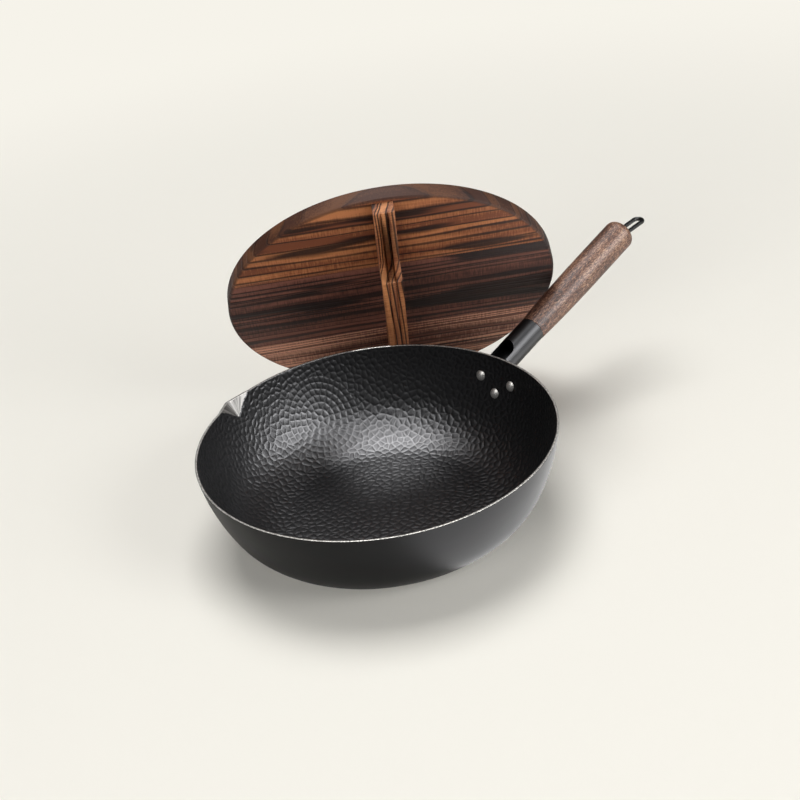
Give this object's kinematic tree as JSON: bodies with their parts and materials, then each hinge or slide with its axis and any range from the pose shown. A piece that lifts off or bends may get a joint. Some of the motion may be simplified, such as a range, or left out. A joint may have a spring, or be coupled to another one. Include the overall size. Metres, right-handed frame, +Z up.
{
  "type": "carbon steel wok",
  "caption": "Flat-bottomed carbon steel wok with a pouring fold, a riveted socket handle with a wooden grip and hanging loop, and a round wooden lid leaning on its rim.",
  "frame": {"origin": "middle of the bowl's flat base, on the surface that the wok stands on", "axes": "+Z up, +X out along the handle, +Y to the left of the handle seen from the bowl's middle"},
  "size_m": [0.5416, 0.3904, 0.2755],
  "materials": {
    "black_steel": "blackened carbon steel, hammered inside, bare ground rim",
    "grey_steel": "dark satin steel",
    "plain_steel": "plain zinc-grey steel",
    "rivet_steel": "tumbled bright steel",
    "black_wire": "black lacquered wire",
    "grip_wood": "oiled dark speckled wood",
    "charred_wood": "charred and brushed fir",
    "peg_wood": "bamboo"
  },
  "bodies": {
    "wok": {"bowl": "black_steel", "handle_socket": "grey_steel", "socket_plug": "plain_steel", "grip": "grip_wood", "tie_rod": "plain_steel", "rivet_upper_left": "rivet_steel", "rivet_upper_right": "rivet_steel", "rivet_lower": "rivet_steel"},
    "loop": {"hanging_loop": "black_wire"},
    "lid": {"lid_board_upper": "charred_wood", "lid_board_middle": "charred_wood", "lid_board_lower": "charred_wood", "lid_bar": "charred_wood", "lid_dowels": "peg_wood", "bar_pegs": "peg_wood"}
  },
  "joints": [
    {"name": "loop_swing", "type": "hinge", "parent": "wok", "child": "loop", "pos_m": [0.34465, 0, 0.13847], "axis": [0, -1, 0], "range_deg": [0, 26]},
    {"name": "lid_lift", "type": "slide", "parent": "wok", "child": "lid", "axis": [0, 0, 1], "range_m": [0, 0.3]}
  ]
}
